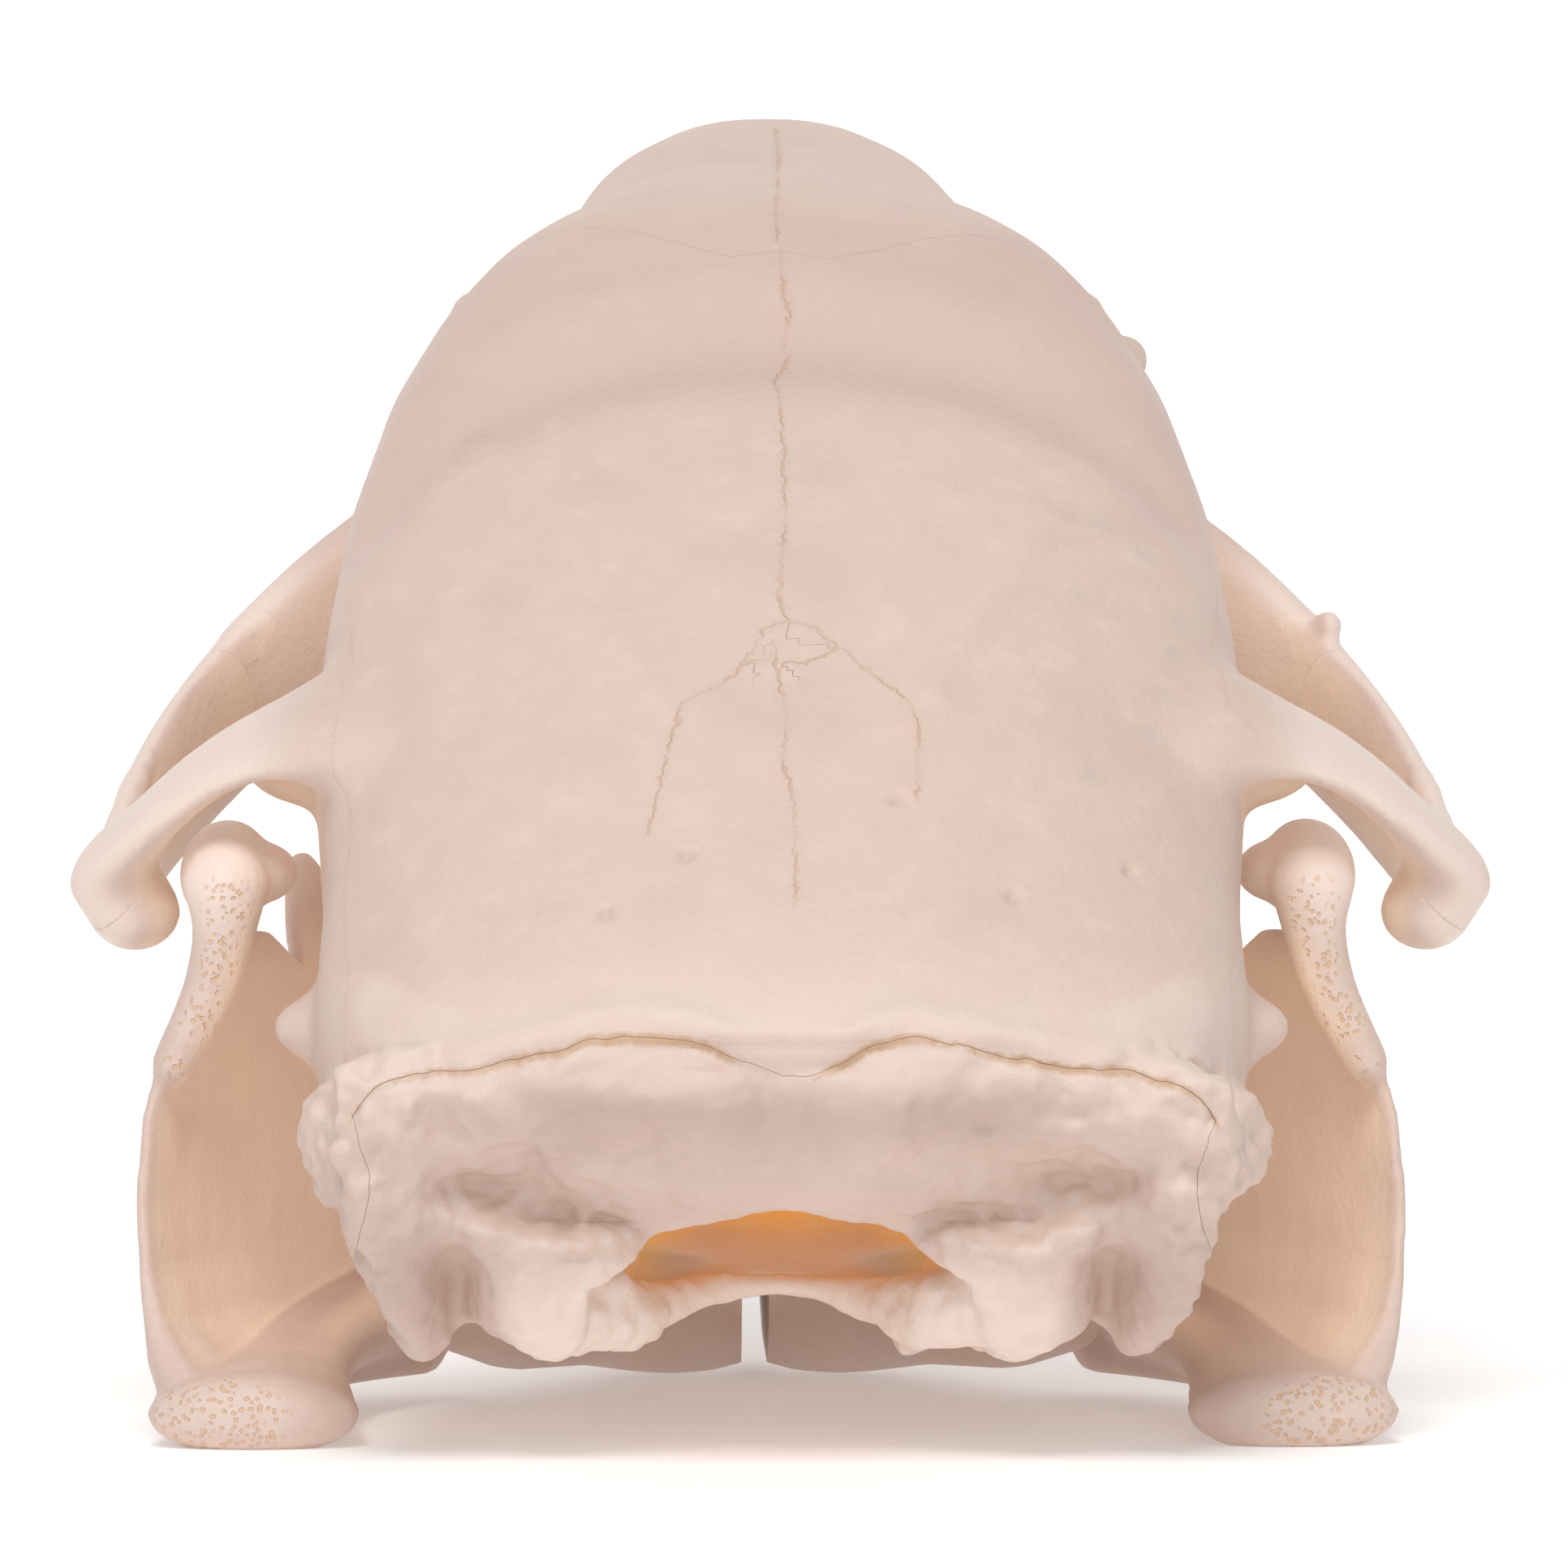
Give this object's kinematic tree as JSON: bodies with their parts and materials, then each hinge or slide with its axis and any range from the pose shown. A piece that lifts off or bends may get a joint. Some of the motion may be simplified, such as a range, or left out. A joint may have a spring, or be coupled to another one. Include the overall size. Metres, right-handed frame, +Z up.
{
  "type": "porcupine skull",
  "caption": "Life-size North American porcupine skull with its lower jaw, nose up, standing on the chin and the jaw angles.",
  "frame": {"origin": "middle of the skull's footprint, on the surface that it stands on", "axes": "+Z up, +Y to the nose, +X to the animal's right"},
  "size_m": [0.0707, 0.0912, 0.0648],
  "materials": {
    "bone": "matte cleaned bone"
  },
  "bodies": {
    "root": {"braincase": "bone", "occipital": "bone", "rostrum": "bone", "jugal_left": "bone", "jugal_right": "bone", "bulla_left": "bone", "bulla_right": "bone", "mandible_left": "bone", "mandible_right": "bone"}
  },
  "joints": []
}
